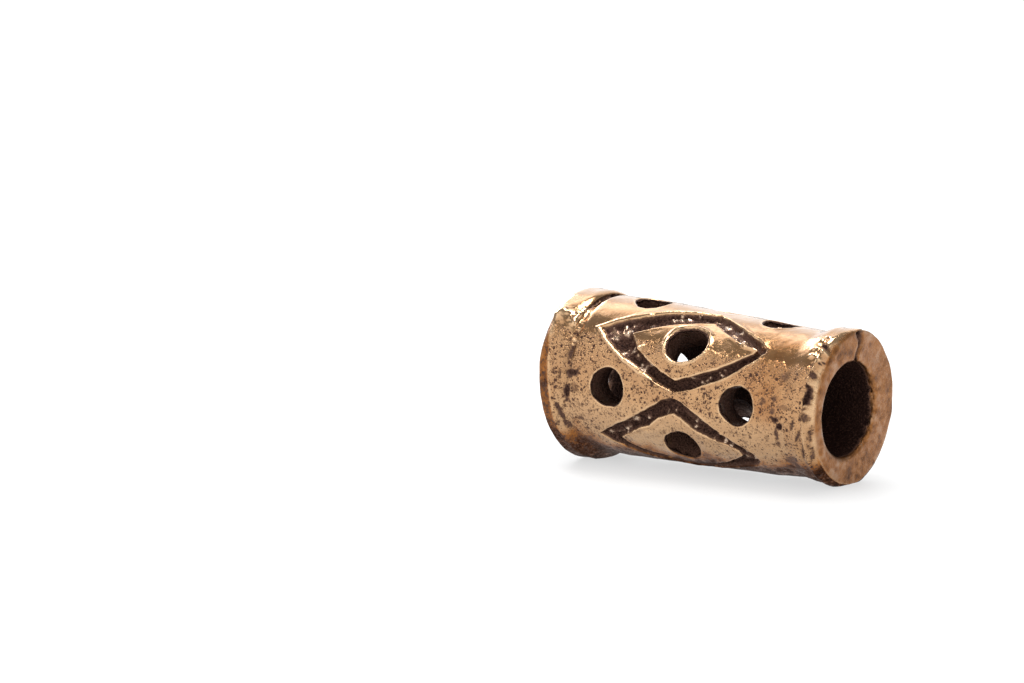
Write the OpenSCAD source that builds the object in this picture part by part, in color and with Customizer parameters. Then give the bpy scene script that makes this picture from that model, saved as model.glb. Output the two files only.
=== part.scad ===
// Cast bronze dreadlock bead: a pierced, slightly tapered tube that lies on its side.
// The bore runs along X through the origin, the narrow end looks to +X and +Z is up.
// Turns round the bore are counted in degrees from the top (+Z) towards the front (-Y).

/* [Tube] */
// Length of the bead along its top, where the leaning collar reaches furthest
bead_length = 21; // [18:0.5:27]
// Diameter of the straight bore that the lock of hair goes through
bore_d = 6.1; // [5:0.1:6.8]
// Width of the broken edge at both mouths of the bore
bore_edge = 0.15; // [0.05:0.05:0.3]
// Diameter of the body beside the collar of the wide end
body_d_wide = 10.3; // [9.6:0.1:10.8]
// Diameter of the body beside the rim of the narrow end
body_d_narrow = 9.3; // [8.8:0.1:9.8]
// How far the body's side swells out beyond a straight taper
body_belly = 0.08; // [0:0.02:0.3]

/* [Wide end] */
// Largest diameter of the collar
collar_d = 11.2; // [10.9:0.1:12.5]
// How far the collar sits below the bore's axis
collar_drop = 0.2; // [0:0.05:0.3]
// Width of the collar at its top, from the end face to its groove
collar_w = 3.0; // [2.6:0.1:4]
// Size of the collar's rounded outer edge
collar_edge = 0.9; // [0.3:0.1:1.1]
// Lean of the end face, its top further out than its bottom, in degrees
collar_lean = 7; // [0:0.5:8]
// Width of the shallow groove between collar and body
collar_groove_w = 0.7; // [0.4:0.1:1]
// Depth of that groove below the body beside it
collar_groove_depth = 0.14; // [0.05:0.02:0.3]

/* [Narrow end] */
// Diameter of the rim
rim_d = 10.0; // [9.7:0.1:10.6]
// Width of the rim along the bore
rim_w = 0.75; // [0.5:0.05:1.2]
// How far the rim sits behind the bore's axis
rim_shift = 0.25; // [0:0.05:0.5]
// Width of the flat end face that is left between the bore and the front edge's wide bevel
face_w_front = 1.0; // [0.6:0.1:1.4]
// Width of the groove between rim and body
rim_groove_w = 0.35; // [0.2:0.05:0.6]
// Depth of that groove below the body beside it
rim_groove_depth = 0.12; // [0.05:0.02:0.3]
// How far the body flares out towards the rim
neck_flare = 0.2; // [0:0.05:0.4]
// Length of that flare along the bore
neck_flare_w = 1.1; // [0.6:0.1:1.6]
// Depth of the flats filed on the rim
rim_flat_depth = 0.12; // [0:0.02:0.2]
// Width of the split that runs across the end face
split_w = 0.22; // [0.15:0.05:0.4]
// Depth of that split
split_depth = 0.25; // [0.1:0.05:0.5]

/* [Diamonds] */
// Number of diamonds round the body
diamond_count = 4; // [3:1:5]
// Distance from the collar's groove to the wide end's tips of the diamonds
diamond_gap_wide = 2.2; // [1.4:0.1:3]
// Distance from the rim's groove to the narrow end's tips of the diamonds
diamond_gap_narrow = 3.8; // [2.4:0.1:4.6]
// Ridge that is left between two neighbouring diamonds
diamond_ridge = 1.0; // [0.4:0.1:1.5]
// Width of a diamond's groove at the surface
groove_w = 0.75; // [0.5:0.05:1]
// Depth of a diamond's groove
groove_depth = 0.45; // [0.25:0.05:0.6]
// Width of the groove's floor, as a share of its width at the surface
groove_floor = 0.6; // [0.3:0.05:0.9]

/* [Side holes] */
// Diameter of the hole in the middle of each diamond
diamond_hole_d = 2.55; // [1.8:0.05:2.8]
// Diameter of the holes between the diamonds on the wide side
wide_hole_d = 2.5; // [1.8:0.05:2.8]
// Diameter of the holes between the diamonds on the narrow side
narrow_hole_d = 2.4; // [1.8:0.05:2.8]
// How far the hole in a diamond sits from its widest point, towards the wide end
diamond_hole_back = 0.2; // [0:0.1:0.6]
// Distance of the wide side's holes from the wide end
wide_hole_inset = 6.0; // [5.4:0.1:6.6]
// Distance of the narrow side's holes from the narrow end
narrow_hole_inset = 5.4; // [4.8:0.1:6]
// How far a hole opens out at the surface, on each side
hole_edge = 0.14; // [0.05:0.01:0.25]

/* [Resting] */
// Depth of the worn flats under collar and rim, on which the bead lies
rest_wear = 0.12; // [0.05:0.01:0.2]

/* [Hidden] */
$fn = 96;

// Spare length of a cutter beyond the surface that it cuts
over = 1;
half_length = bead_length / 2;
bore_r = bore_d / 2;
collar_r = collar_d / 2;
rim_r = rim_d / 2;

// Where the body's plain side starts, beside the collar's groove, and ends, beside the neck's flare
collar_groove_x = collar_w - half_length;
rim_groove_x = half_length - rim_w - rim_groove_w / 2;
body_start = collar_groove_x + collar_groove_w / 2;
body_end = rim_groove_x - rim_groove_w / 2 - neck_flare_w;

// Tips of the diamonds, and the place of their widest point between them
WAIST_SHARE = 0.54;
diamond_start = collar_groove_x + diamond_gap_wide;
diamond_end = rim_groove_x - diamond_gap_narrow;
diamond_waist = mix(diamond_start, diamond_end, WAIST_SHARE);

// Angle between neighbouring diamonds, and the middle of the first one
pitch = 360 / diamond_count;
first_turn = pitch / 2;
// Turn from the bottom at which a turned surface closes on itself, clear of the middle of every hole
seam_turn = -0.35 * pitch;
// The same for the bore's wall, which the side holes cut over wider angles
bore_seam_turn = pitch / 6;

// How far each diamond is turned from its even place, as shares of the pitch, in the order round the
// body: [at its widest point, at its wide end's tip, at its narrow end's tip]
DIAMOND_TURNS = [
    [0.017, 0, -0.033],
    [-0.039, -0.08, 0.005],
    [0.02, 0.03, 0.04],
    [0.01, 0.02, 0]
];
// Straight pieces along one side of a diamond
GROOVE_STEPS = 4;
// How far a cutter's section reaches above the surface
groove_clear = 0.5;
// Distance from the axis at which a side hole's cutter starts, as a share of the bore's radius
CUTTER_START = 0.7;

// Holes that sit off their even places: [row, place in the row, shift along the bore as a share of the
// hole's diameter, turn as a share of the pitch]
HOLE_SHIFTS = [
    ["wide", 0, 0.05, 0.03],
    ["wide", 3, -0.12, 0.09],
    ["diamond", 1, 0, -0.045],
    ["narrow", 0, 0.02, -0.03],
    ["narrow", 1, 0, -0.02],
];

// Flats filed on the rim: [turn in degrees, share of the depth]
RIM_FLATS = [[217, 1], [266, 0.9], [325, 1.2]];
// Turn of the split in the end face, in degrees
split_turn = 347;

function mix(a, b, t) = a + (b - a) * t;

// Radius of the body's plain side at a place along the bore
function body_r(x) =
    let (t = (x - body_start) / (body_end - body_start))
    mix(body_d_wide, body_d_narrow, t) / 2 + body_belly * 4 * t * (1 - t);

// Turns of a solid about the bore: its profile is given as [radius, place along the bore]
module turned(profile, seam = seam_turn) {
    rotate([seam, 0, 0])
        rotate([0, 90, 0])
            rotate_extrude()
                polygon(profile);
}

// Carries a part that points along +Z to a place along the bore, pointing out at a turn round it
module radial(x, turn) {
    translate([x, 0, 0])
        rotate([turn, 0, 0])
            children();
}

// Radius at the floor of the collar's groove
collar_groove_r = body_r(body_start) - collar_groove_depth;

// Collar of the wide end, a little below the bore's axis
module collar_form() {
    translate([0, 0, -collar_drop])
        turned([
            [0, -half_length - over],
            [collar_r, -half_length - over],
            [collar_r, collar_groove_x - collar_groove_w / 2],
            [collar_groove_r, collar_groove_x],
            [0, collar_groove_x]
        ]);
}

// Tapered body, from under the collar to the neck's flare and the rim's groove
module body_form() {
    side_steps = 6;
    neck_r = body_r(body_end) + neck_flare;
    turned(concat(
        [
            [0, collar_groove_x - collar_w / 2],
            [collar_groove_r, collar_groove_x - collar_w / 2],
            [collar_groove_r, collar_groove_x]
        ],
        [
            for (i = [0 : side_steps])
                let (x = mix(body_start, body_end, i / side_steps))
                [body_r(x), x]
        ],
        [
            [neck_r, body_end + neck_flare_w],
            [neck_r - rim_groove_depth, rim_groove_x],
            [neck_r - rim_groove_depth, half_length - rim_w / 2],
            [0, half_length - rim_w / 2]
        ]
    ));
}

// Rim of the narrow end, a little behind the bore's axis
module rim_form() {
    edge = rim_w / 6;
    translate([0, rim_shift, 0])
        turned([
            [0, half_length - rim_w],
            [rim_r - edge, half_length - rim_w],
            [rim_r, half_length - rim_w + edge],
            [rim_r, half_length - edge],
            [rim_r - edge, half_length],
            [0, half_length]
        ]);
}

// Middle of the wide end's face, whose leaning top reaches the end of the bead
end_face_x = (collar_r - collar_edge) * sin(collar_lean) - half_length;

// Carries a part to the wide end's face and leans it with the face
module end_face() {
    translate([end_face_x, 0, 0])
        rotate([0, -collar_lean, 0])
            children();
}

// All that lies inside the wide end's leaning face and its rounded edge
module collar_bounds() {
    edge_steps = 4;
    // The rounding stops short of the collar's side, so that the two meet at a clear angle
    edge_end = 72;
    translate([0, 0, -collar_drop])
        end_face()
            turned(concat(
                [[0, 0]],
                [
                    for (i = [0 : edge_steps])
                        let (a = edge_end * i / edge_steps)
                        [collar_r - collar_edge * (1 - sin(a)), collar_edge * (1 - cos(a))]
                ],
                [
                    [collar_r + 3 * over, collar_edge + 2 * over],
                    [collar_r + 3 * over, bead_length + 3 * over],
                    [0, bead_length + 3 * over]
                ]
            ));
}

// All that lies inside the narrow end's bevel, which is wide in front and runs out behind
module rim_bounds() {
    bevel = bore_r + face_w_front;
    face_r = (bevel + rim_r + rim_shift) / 2 + rim_w / 3;
    spread = bead_length + 2 * over;
    translate([0, face_r - bevel, 0])
        turned([
            [0, -half_length - 2 * over],
            [face_r + spread, -half_length - 2 * over],
            [face_r + spread, half_length - spread],
            [face_r, half_length],
            [0, half_length]
        ]);
}

// All that lies above the flats under collar and rim
module rest_bounds() {
    collar_rest_x = end_face_x + collar_r * sin(collar_lean) + collar_edge;
    rim_rest_x = half_length - rim_w / 2;
    drop = collar_r + collar_drop - rim_r;
    span = rim_rest_x - collar_rest_x;
    size = 2 * bead_length;
    translate([collar_rest_x, 0, rest_wear - collar_r - collar_drop])
        rotate([0, -atan(drop / span), 0])
            translate([-size / 2, -size / 2, 0])
                cube(size);
}

// Flats filed on the rim's edge
module rim_flats() {
    for (flat = RIM_FLATS)
        radial(half_length - rim_w, flat[0])
            translate([0, -rim_r, rim_r - rim_shift * sin(flat[0]) - flat[1] * rim_flat_depth])
                cube([rim_w + over, 2 * rim_r, over]);
}

// Split across the end face, from the bore to the rim's edge
module split() {
    radial(half_length - split_depth, split_turn)
        translate([0, -split_w / 2, bore_r - over])
            cube([split_depth + over, split_w, rim_r - bore_r + 2 * over]);
}

// Bore with its two broken edges
module bore() {
    reach = half_length + over;
    turned(
        [
            [0, -reach],
            [bore_r, -reach],
            [bore_r, reach],
            [0, reach]
        ],
        bore_seam_turn
    );
    turned([
        [0, half_length - bore_edge],
        [bore_r, half_length - bore_edge],
        [bore_r + bore_edge + over, half_length + over],
        [0, half_length + over]
    ]);
    // The leaning end's edge cutter reaches past the bore's wall, so that the two cross at a clear angle
    end_face()
        turned([
            [0, -over],
            [bore_r + bore_edge + over, -over],
            [bore_r - bore_edge, 2 * bore_edge],
            [0, 2 * bore_edge]
        ]);
}

// One hole through the wall, with its edge opened out at the surface
module side_hole(d, x) {
    // The cutter starts inside the bore, short of the cutters beside it
    start = bore_r * CUTTER_START;
    wall_r = body_r(x);
    translate([0, 0, start])
        cylinder(d = d, h = wall_r + over - start);
    translate([0, 0, wall_r - 2 * hole_edge])
        cylinder(r1 = d / 2, r2 = d / 2 + 2 * hole_edge + over, h = 2 * hole_edge + over);
}

// Shift of a hole from its even place: [share of the diameter, share of the pitch]
function hole_shift(row, i) =
    let (found = [for (s = HOLE_SHIFTS) if (s[0] == row && s[1] == i) s])
    len(found) > 0 ? [found[0][2], found[0][3]] : [0, 0];

// A row of holes round the body
module hole_row(row, x, d, start) {
    for (i = [0 : diamond_count - 1]) {
        shift = hole_shift(row, i);
        radial(x + shift[0] * d, start + (i + shift[1]) * pitch)
            side_hole(d, x);
    }
}

module side_holes() {
    hole_row("wide", wide_hole_inset - half_length, wide_hole_d, 0);
    hole_row("diamond", diamond_waist - diamond_hole_back, diamond_hole_d, first_turn);
    hole_row("narrow", half_length - narrow_hole_inset, narrow_hole_d, 0);
}

// The rolled-out body is a plane of [place along the bore, length round the body at the widest point]
waist_r = body_r(diamond_waist);
half_height = PI * waist_r / diamond_count - diamond_ridge / 2 - groove_w / 2;
function turned_length(turn) = turn * PI / 180 * waist_r;

// Corners of the middle line of a diamond's groove, for one row of DIAMOND_TURNS
function diamond_corners(turns) =
    let (shift = [for (t = turns) turned_length(t * pitch)])
    [
        [diamond_start, shift[1]],
        [diamond_waist, shift[0] - half_height],
        [diamond_end, shift[2]],
        [diamond_waist, shift[0] + half_height]
    ];

// Unit normal of the line from a to b in that plane
function side_normal(a, b) = let (d = b - a) [-d[1], d[0]] / norm(d);

// Corner i, moved out by a distance on both its sides
function moved_corner(corners, i, distance) =
    let (
        n = len(corners),
        before = side_normal(corners[(i + n - 1) % n], corners[i]),
        after = side_normal(corners[i], corners[(i + 1) % n])
    )
    corners[i] - (before + after) * distance / (1 + before * after);

// Point on the closed line round a diamond, at step k of GROOVE_STEPS a side
function groove_point(corners, k, distance) =
    let (
        n = len(corners),
        i = floor(k / GROOVE_STEPS) % n,
        t = k / GROOVE_STEPS - floor(k / GROOVE_STEPS)
    )
    mix(moved_corner(corners, i, distance), moved_corner(corners, (i + 1) % n, distance), t);

// A point of the rolled-out plane, wrapped on the body and lifted off its surface
function wrapped(point, lift) =
    let (
        r = body_r(point[0]) + lift,
        turn = point[1] / waist_r * 180 / PI
    )
    [point[0], -r * sin(turn), r * cos(turn)];

// Cutter for the groove round one diamond, centred on the top of the body
module diamond_groove(turns) {
    corners = diamond_corners(turns);
    floor_w = groove_w * groove_floor;
    top_w = groove_w + (groove_w - floor_w) * groove_clear / groove_depth;
    // Section of the cutter: [distance from the groove's middle, lift off the surface]
    section = [
        [-top_w / 2, groove_clear],
        [-floor_w / 2, -groove_depth],
        [floor_w / 2, -groove_depth],
        [top_w / 2, groove_clear]
    ];
    sides = len(section);
    stations = GROOVE_STEPS * len(corners);
    points = [
        for (k = [0 : stations - 1])
            for (s = section)
                wrapped(groove_point(corners, k, s[0]), s[1])
    ];
    faces = [
        for (k = [0 : stations - 1])
            for (j = [0 : sides - 1])
                let (
                    a = k * sides + j,
                    b = k * sides + (j + 1) % sides,
                    next = (k + 1) % stations * sides,
                    c = next + (j + 1) % sides,
                    d = next + j
                )
                each [[a, c, b], [a, d, c]]
    ];
    polyhedron(points, faces);
}

module diamond_grooves() {
    for (i = [0 : diamond_count - 1])
        rotate([first_turn + i * pitch, 0, 0])
            diamond_groove(DIAMOND_TURNS[i % len(DIAMOND_TURNS)]);
}

// The bead is one casting
module bead() {
    color([0.70, 0.52, 0.31])
        difference() {
            intersection() {
                union() {
                    collar_form();
                    body_form();
                    rim_form();
                }
                collar_bounds();
                rim_bounds();
                rest_bounds();
            }
            bore();
            side_holes();
            diamond_grooves();
            rim_flats();
            split();
        }
}

bead();
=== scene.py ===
import math

import bpy
import numpy as np
from mathutils import Matrix, Vector
from mathutils.geometry import delaunay_2d_cdt


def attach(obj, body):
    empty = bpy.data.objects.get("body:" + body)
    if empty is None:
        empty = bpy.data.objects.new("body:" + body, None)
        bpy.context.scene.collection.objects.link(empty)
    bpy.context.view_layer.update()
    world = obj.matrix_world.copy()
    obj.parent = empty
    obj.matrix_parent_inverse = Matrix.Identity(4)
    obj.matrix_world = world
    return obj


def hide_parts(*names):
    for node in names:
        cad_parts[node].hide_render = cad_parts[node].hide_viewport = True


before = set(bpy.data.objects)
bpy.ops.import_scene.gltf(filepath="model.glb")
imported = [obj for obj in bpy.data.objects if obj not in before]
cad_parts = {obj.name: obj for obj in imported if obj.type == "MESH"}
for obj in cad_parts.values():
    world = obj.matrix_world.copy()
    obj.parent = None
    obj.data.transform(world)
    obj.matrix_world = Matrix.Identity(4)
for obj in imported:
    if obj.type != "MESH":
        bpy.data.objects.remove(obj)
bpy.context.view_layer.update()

# A cast bronze bead for a dreadlock, as one closed mesh. Its plain surface is a band that runs over the
# outside and back through the bore. The band is rolled out flat, grooves and holes are drawn on it as lines,
# and the plane is filled with triangles. Its points are then put in space and moved along the surface's
# normal. Values at the points say where the metal is dirty, rubbed or tarnished, and where shade and a sheen
# are painted on it, and steer one material.

MM = 0.001

# Sizes in millimetres, in the CAD's frame: the bore runs along X, and turns count in degrees from the top
# (+Z) towards the front (-Y)
HALF = 10.5
BORE_R = 3.05
COLLAR_R, COLLAR_DROP = 5.6, 0.2
RIM_X, RIM_R, RIM_SHIFT = 9.75, 5.0, 0.25
FACE_R, FACE_SHIFT = 4.9, 0.85
# The wide end's face leans, and meets the collar's middle at this place
LEAN = math.radians(7)
FACE_X = (COLLAR_R - 0.9) * math.sin(LEAN) - HALF
# The body's ends, its diameter at the first, how much it tapers, and its bulge
BODY_X0, BODY_X1 = -7.15, 8.3
BODY_D, BODY_TAPER, BODY_BULGE = 10.3, 1.0, 0.32
# The floor under the bead: its height at one place, and its slope
REST_X, REST_Z, REST_SLOPE = -8.345, -5.68, math.tan(math.radians(2.48))
# The rolled-out surface is a plane as wide as a circle of this radius is round
PLANE_R = 5.0
ROUND = 2 * np.pi * PLANE_R


def smooth(a, b, x):
    """A soft step from 0 at a to 1 at b."""
    t = np.clip((x - a) / (b - a), 0, 1)
    return t * t * (3 - 2 * t)


def bump(x, centre, width):
    """A soft hump of height 1."""
    return np.exp(-(((x - centre) / width) ** 2))


def turn_gap(turn, centre):
    """Difference of two turns in degrees, between -180 and 180."""
    return (turn - centre + 180) % 360 - 180


def body_r(x):
    t = (x - BODY_X0) / (BODY_X1 - BODY_X0)
    return (BODY_D - BODY_TAPER * t) / 2 + BODY_BULGE * t * (1 - t)


def bore_r(x):
    return BORE_R + 0 * x


def lattice(i, j, k, seed):
    """A fixed random number between -1 and 1 for each cell corner."""
    h = (i * 73856093) ^ (j * 19349663) ^ (k * 83492791) ^ (seed * 49979687)
    h = (h & 0xFFFFFFFF) * 2654435761 & 0xFFFFFFFF
    h = ((h ^ (h >> 15)) * 2246822519) & 0xFFFFFFFF
    return ((h >> 8) & 0xFFFF) / 32767.5 - 1


def noise(p, size, seed, octaves=1):
    """Smooth value noise between -1 and 1 at points in millimetres."""
    total, weight, share = 0, 0, 1
    for o in range(octaves):
        q = p / size * 2**o + 17.3 * o
        i = np.floor(q).astype(np.int64)
        f = q - i
        f = f * f * (3 - 2 * f)
        value = 0
        for a, b, c in np.ndindex(2, 2, 2):
            w = (
                np.where(a, f[:, 0], 1 - f[:, 0])
                * np.where(b, f[:, 1], 1 - f[:, 1])
                * np.where(c, f[:, 2], 1 - f[:, 2])
            )
            value = value + w * lattice(i[:, 0] + a, i[:, 1] + b, i[:, 2] + c, seed + o)
        total = total + value * share
        weight += share
        share /= 2
    return total / weight * 1.4


# Along u the band runs from the wide end's mouth over the collar, the body (where u is the place along the
# bore) and the rim to the narrow end's mouth, and back through the bore
TURNS = np.radians(np.arange(0, 360, 1.0))


def circle(radius, y, z):
    """Distance from the bore's axis to a circle with its middle at y, z, for each turn."""
    e = -np.sin(TURNS) * y + np.cos(TURNS) * z
    return e + np.sqrt(radius**2 - y**2 - z**2 + e**2)


def around(values):
    """A quantity given at some turns, {turn: value}, smoothly for every whole degree."""
    keys = sorted(values)
    turns = np.array([k - 360 for k in keys] + list(keys) + [k + 360 for k in keys], float)
    wanted = np.arange(0, 360, 1.0)
    rough = np.interp(wanted, turns, np.tile([float(values[k]) for k in keys], 3))
    kernel = np.hanning(31)
    padded = np.concatenate([rough[-15:], rough, rough[:15]])
    return np.convolve(padded, kernel / kernel.sum(), "valid")


def rounded(points, cuts, steps):
    """A line for every turn with its corners rounded. points: [n, turns, 2]; cuts: [n] lengths or arrays."""
    line = [points[0]]
    for k in range(1, len(points) - 1):
        c = points[k]
        cut = np.broadcast_to(np.asarray(cuts[k], float), (len(TURNS),))[:, None]
        back, ahead = points[k - 1] - c, points[k + 1] - c
        lb = np.linalg.norm(back, axis=1, keepdims=True)
        la = np.linalg.norm(ahead, axis=1, keepdims=True)
        s = c + back / lb * np.minimum(cut, 0.48 * lb)
        e = c + ahead / la * np.minimum(cut, 0.48 * la)
        for t in np.linspace(0, 1, steps):
            line.append((1 - t) ** 2 * s + 2 * t * (1 - t) * c + t * t * e)
    line.append(points[-1])
    return line


def at_turn(table, turn):
    """A quantity given for every whole degree, at any turn."""
    return np.interp(turn % 360, np.arange(361), np.append(table, table[0]))


# Points on each rounded corner of the profile, and the step of the profile's tables
CORNER = 9
TABLE_STEP = 0.03


def profile():
    """Tables, over turn and u, of the place along the bore and of the radius, and marks along u."""
    one, cos = np.ones(len(TURNS)), np.cos(TURNS)

    def face_x(r):
        return FACE_X - (r * cos + COLLAR_DROP) * math.tan(LEAN)

    def at(x, r):
        return np.stack([x * one, r * one], 1)

    # The wide end: the lip, the collar's crest, its worn shoulder, and the faint ring beside it
    collar = circle(COLLAR_R, 0, -COLLAR_DROP)
    lip = around({0: 1.95, 30: 1.7, 60: 1.25, 75: 1.05, 130: 0.95, 180: 0.9, 260: 0.95, 320: 1.5})
    crest = around({0: -8.35, 40: -8.5, 75: -8.9, 260: -8.9, 320: -8.4})
    shoulder = around({0: 0.12, 40: 0.2, 90: 0.2, 130: 0.12, 165: 0, 195: 0, 230: 0.15, 300: 0.15, 345: 0.15})
    ring_x = around({
        0: -7.75, 30: -7.75, 60: -7.6, 120: -7.75, 150: -7.3, 170: -6.9, 190: -6.9, 210: -7.2, 270: -7.5,
        345: -7.8,
    })
    ring_r = body_r(BODY_X0) - around({
        0: 0.16, 20: 0.12, 60: 0.06, 130: 0.05, 170: -0.05, 190: -0.05, 230: 0.08, 300: 0.12, 350: 0.16,
    })
    wide = [
        at(face_x(BORE_R) + 0.5, BORE_R),
        at(face_x(BORE_R), BORE_R),
        at(face_x(collar), collar),
        at(crest, collar - 0.02),
        at(0.55 * ring_x + 0.45 * crest, collar - shoulder - 0.06),
        at(ring_x - 0.25, ring_r + 0.25 * (collar - ring_r) * 0.6),
        at(ring_x, ring_r),
        at(ring_x + 0.35, body_r(BODY_X0)),
        at(-6.2, body_r(-6.2)),
    ]
    # The outermost points, in the bore, only give the mouths' corners their direction
    wide = rounded(wide, [0, 0.22, lip, 0.3, 0.35, 0.12, 0.14, 0.2, 0], CORNER)[1:]
    body_x = np.arange(-6.15, 7.9, 0.15)
    body = [at(x, body_r(x)) for x in body_x]
    # The narrow end: the neck's flare, the shallow groove below the rim, the bevel and the flat face
    rim = circle(RIM_R, RIM_SHIFT, 0)
    face = np.minimum(circle(FACE_R, FACE_SHIFT, 0), rim - 0.06)
    flare = around({
        0: 0.36, 30: 0.26, 60: 0.16, 90: 0.12, 130: 0.16, 180: 0.2, 250: 0.3, 320: 0.38, 350: 0.4,
    })
    neck = np.minimum(body_r(BODY_X1) + flare, rim + 0.02)
    groove = around({
        0: 0.03, 40: 0.04, 60: 0.04, 100: 0.05, 125: 0.08, 150: 0.1, 180: 0.12, 260: 0.1, 320: 0.05,
    })
    narrow = [
        at(7.9, body_r(7.9)),
        at(8.35, body_r(BODY_X1)),
        at(9.35, neck),
        at(9.6, neck - groove),
        at(RIM_X + 0.08, rim),
        at(np.maximum(HALF - (rim - face), RIM_X + 0.2), rim),
        at(HALF, face),
        at(HALF, BORE_R),
        at(HALF - 1.1, BORE_R),
    ]
    bevel = around({0: 0.12, 40: 0.3, 60: 0.42, 120: 0.42, 150: 0.25, 180: 0.16, 330: 0.1})
    edge = around({0: 0.16, 40: 0.32, 60: 0.5, 120: 0.5, 150: 0.35, 180: 0.25, 330: 0.14})
    mouth = around({
        0: 0.22, 60: 0.32, 90: 0.38, 130: 0.46, 165: 0.42, 200: 0.24, 230: 0.22, 270: 0.28, 310: 0.26,
    })
    narrow = rounded(narrow, [0, 0.35, 0.18, 0.09, 0.12, bevel, edge, mouth, 0], CORNER)[:-1]
    inner = [narrow[-1] * (1 - t) + wide[0] * t for t in np.linspace(0, 1, 40)[1:]]
    line = wide + body + narrow + inner
    # Off the body u goes on by the line's mean length
    mean = np.array([p.mean(0) for p in line])
    u = np.concatenate([[0], np.cumsum(np.linalg.norm(np.diff(mean, axis=0), axis=1))])
    first, last = len(wide), len(wide) + len(body) - 1
    u = u - u[first] + body_x[0]
    u[first : last + 1] = body_x
    u[last + 1 :] += body_x[-1] - (u[last + 1] - np.linalg.norm(mean[last + 1] - mean[last]))
    table = np.array(line)
    grid = np.arange(u[0], u[-1], TABLE_STEP)
    x, r = (np.array([np.interp(grid, u, table[:, i, k]) for i in range(len(TURNS))]) for k in (0, 1))
    # The middles of the lip's corner, and of the corners where the rim, its bevel and its face start
    corner_at = [u[last + 2 + CORNER * k + CORNER // 2] for k in range(6)]
    marks = {
        "mouth_wide": u[0],
        "lip": u[CORNER + CORNER // 2],
        "rim": corner_at[3],
        "bevel": corner_at[4],
        "face": corner_at[5],
        "mouth_narrow": u[last + len(narrow)],
        "end": u[-1],
    }
    return grid, x, r, marks


GRID, TABLE_X, TABLE_R, MARKS = profile()
U0, U_PERIOD = MARKS["mouth_wide"], MARKS["end"] - MARKS["mouth_wide"]


def place(u, turn):
    """Point of the plain surface at u and turn (degrees)."""
    fu = np.clip((U0 + (u - U0) % U_PERIOD - GRID[0]) / (GRID[1] - GRID[0]), 0, len(GRID) - 1.001)
    iu = fu.astype(int)
    fu = fu - iu
    ft = turn % 360
    it = ft.astype(int) % 360
    ft = ft - np.floor(ft)
    jt = (it + 1) % 360
    pick = [(1 - ft) * (1 - fu), (1 - ft) * fu, ft * (1 - fu), ft * fu]
    cells = [(it, iu), (it, iu + 1), (jt, iu), (jt, iu + 1)]
    x = sum(w * TABLE_X[c] for w, c in zip(pick, cells))
    r = sum(w * TABLE_R[c] for w, c in zip(pick, cells))
    a = np.radians(turn)
    return np.stack([x, -r * np.sin(a), r * np.cos(a)], 1)


def normal(u, turn):
    """Outward normal of the plain surface."""
    du = place(u + 0.05, turn) - place(u - 0.05, turn)
    dt = place(u, turn + 0.8) - place(u, turn - 0.8)
    n = np.cross(dt, du)
    return n / np.linalg.norm(n, axis=1, keepdims=True)


# Outlines of the diamonds' grooves, from one corner to the next: place along the bore and turn of the
# groove's outer edge, and the same of its inner edge
DIAMOND_AT = 46
DIAMONDS = [
    [
        (-6.05, 45.5, -3.65, 46), (-5, 37.5, -3.05, 41.5), (-3.6, 27.5, -2.3, 35.5), (-2, 18.5, -1.1, 27.5),
        (-0.3, 12, 0.3, 20.5), (1.2, 9, 1.15, 17.2), (3.3, 21, 2.35, 28), (4.5, 28, 3.75, 35.8),
        (5.5, 34.5, 4.6, 40.8), (6.1, 39.5, 5.35, 42), (6.2, 43.5, 5.6, 43.3), (5.85, 50.5, 5.3, 47),
        (4.8, 61.2, 4.45, 54.3), (3.5, 71.5, 3.1, 63.8), (1.6, 82, 1.4, 72.8), (0.5, 85.5, 0.5, 76.8),
        (-1, 79, -0.4, 72.8), (-2.5, 70, -1.8, 64.5), (-4.2, 61.5, -2.7, 57.5), (-5.3, 54, -3.3, 51),
    ],
    [
        (-5.65, 128, -3.95, 128), (-5, 122.5, -3.3, 123.5), (-3.6, 113.5, -2.5, 118.5),
        (-2.3, 105.5, -1.5, 113), (-1.2, 98.3, -0.6, 106), (-0.4, 92.3, 0, 102.3), (0.35, 89.6, 0.4, 101),
        (1.1, 91.8, 0.95, 104), (2.3, 100.5, 1.7, 111.5), (3.7, 111, 2.9, 117.5), (5, 121, 4.2, 122.5),
        (5.9, 128, 4.85, 126.5), (6.2, 136, 5, 131), (5.7, 142.5, 4.3, 137.5), (4.3, 149.5, 3.3, 144),
        (2.6, 158, 2, 151), (0.8, 166, 0.7, 157), (-1.2, 158, -0.6, 151.5), (-2.6, 150.5, -1.6, 145.8),
        (-4, 142, -2.9, 139.5), (-5, 134, -3.65, 133.5),
    ],
]
for turn_to, size in ((227, 0.97), (316, 0.99)):
    DIAMONDS.append([
        (x * size, turn_to + (t - DIAMOND_AT) * size, v * size, turn_to + (w - DIAMOND_AT) * size)
        for x, t, v, w in DIAMONDS[0]
    ])
# The first two nearly touch between these turns, so the soft outer border of their grooves is narrower there
TIGHT = (77, 98)
# Section of a groove: distance from its middle line, height, how dark it is, and the height added where its
# outer edge was pushed up most
GROOVE = [
    (0, -0.42, 1, 0), (0.14, -0.43, 1, 0), (0.24, -0.41, 1, 0), (0.31, -0.33, 1, 0), (0.36, -0.2, 0.9, 0),
    (0.395, -0.08, 0.5, 0), (0.42, -0.01, 0.1, 0), (0.47, 0.02, 0, 0.03), (0.55, 0.035, 0, 0.085),
    (0.65, 0.018, 0, 0.14), (0.74, 0, 0, 0.16),
]
# Where the groove's edge stands, where its wall starts, the wall's width, and one more row of the section
# for the front diamond's border
EDGE_AT = 0.42
WALL_FROM, WALL_WIDE = 0.3, 0.12
FAR_EDGE = (0.87, 0, 0, 0.07)
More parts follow.
